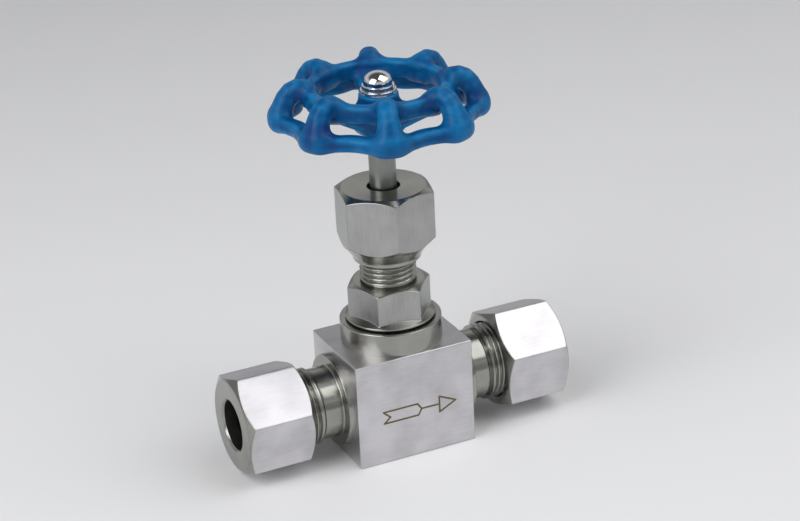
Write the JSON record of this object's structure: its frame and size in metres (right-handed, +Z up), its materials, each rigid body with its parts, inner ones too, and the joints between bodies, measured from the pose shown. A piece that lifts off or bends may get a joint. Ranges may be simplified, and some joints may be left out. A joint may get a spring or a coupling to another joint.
{
  "type": "needle valve",
  "caption": "Needle valve: square steel body, screwed bonnet, rising stem with a lobed blue handwheel, and a bite-type tube fitting on each side.",
  "frame": {"origin": "centre of the body's flat underside, below the stem's axis", "axes": "+Z up along the stem, +X along the pipe from the inlet to the outlet, +Y to the back"},
  "size_m": [0.1, 0.0576, 0.1107],
  "materials": {
    "forged_steel": "brushed flats and turned rounds of stainless steel",
    "turned_steel": "turned stainless steel",
    "inner_steel": "plain stainless steel",
    "bright_plate": "bright plated",
    "blue_enamel": "glossy blue enamel on a casting",
    "graphite": "pressed graphite packing",
    "copper": "soft copper"
  },
  "bodies": {
    "valve": {"valve_body": "forged_steel", "bonnet_gasket": "copper", "bonnet": "turned_steel", "packing_washer": "inner_steel", "packing_ring_1": "graphite", "packing_ring_2": "graphite", "packing_ring_3": "graphite", "packing_ring_4": "graphite"},
    "needle": {"needle": "inner_steel"},
    "stem": {"stem": "turned_steel", "handwheel": "blue_enamel", "flat_washer": "bright_plate", "spring_washer": "bright_plate", "dome_nut": "bright_plate"},
    "gland": {"gland_follower": "inner_steel"},
    "packing_nut": {"packing_nut": "forged_steel"},
    "inlet_ferrule": {"inlet_ferrule": "inner_steel"},
    "inlet_nut": {"inlet_union_nut": "forged_steel"},
    "outlet_ferrule": {"outlet_ferrule": "inner_steel"},
    "outlet_nut": {"outlet_union_nut": "forged_steel"}
  },
  "joints": [
    {"name": "needle_lift", "type": "slide", "parent": "valve", "child": "needle", "axis": [0, 0, 1], "range_m": [0, 0.006]},
    {"name": "handwheel_turn", "type": "hinge", "parent": "needle", "child": "stem", "pos_m": [0, 0, 0.1], "axis": [0, 0, 1], "range_deg": [0, 1440]},
    {"name": "gland_lift", "type": "slide", "parent": "valve", "child": "gland", "axis": [0, 0, 1], "range_m": [0, 0.0045]},
    {"name": "packing_nut_turn", "type": "hinge", "parent": "gland", "child": "packing_nut", "pos_m": [0, 0, 0.067], "axis": [0, 0, 1], "range_deg": [0, 1080]},
    {"name": "inlet_ferrule_slide", "type": "slide", "parent": "valve", "child": "inlet_ferrule", "axis": [-1, 0, 0], "range_m": [0, 0.009]},
    {"name": "inlet_nut_turn", "type": "hinge", "parent": "inlet_ferrule", "child": "inlet_nut", "pos_m": [-0.04, 0, 0.016], "axis": [-1, 0, 0], "range_deg": [0, 2160]},
    {"name": "outlet_ferrule_slide", "type": "slide", "parent": "valve", "child": "outlet_ferrule", "axis": [1, 0, 0], "range_m": [0, 0.009]},
    {"name": "outlet_nut_turn", "type": "hinge", "parent": "outlet_ferrule", "child": "outlet_nut", "pos_m": [0.04, 0, 0.016], "axis": [1, 0, 0], "range_deg": [0, 2160]}
  ],
  "couplings": [
    {"joint": "handwheel_turn", "follows": "needle_lift", "rad_per_m": 4188.8},
    {"joint": "packing_nut_turn", "follows": "gland_lift", "rad_per_m": 4188.8},
    {"joint": "inlet_nut_turn", "follows": "inlet_ferrule_slide", "rad_per_m": 4188.8},
    {"joint": "outlet_nut_turn", "follows": "outlet_ferrule_slide", "rad_per_m": 4188.8}
  ]
}
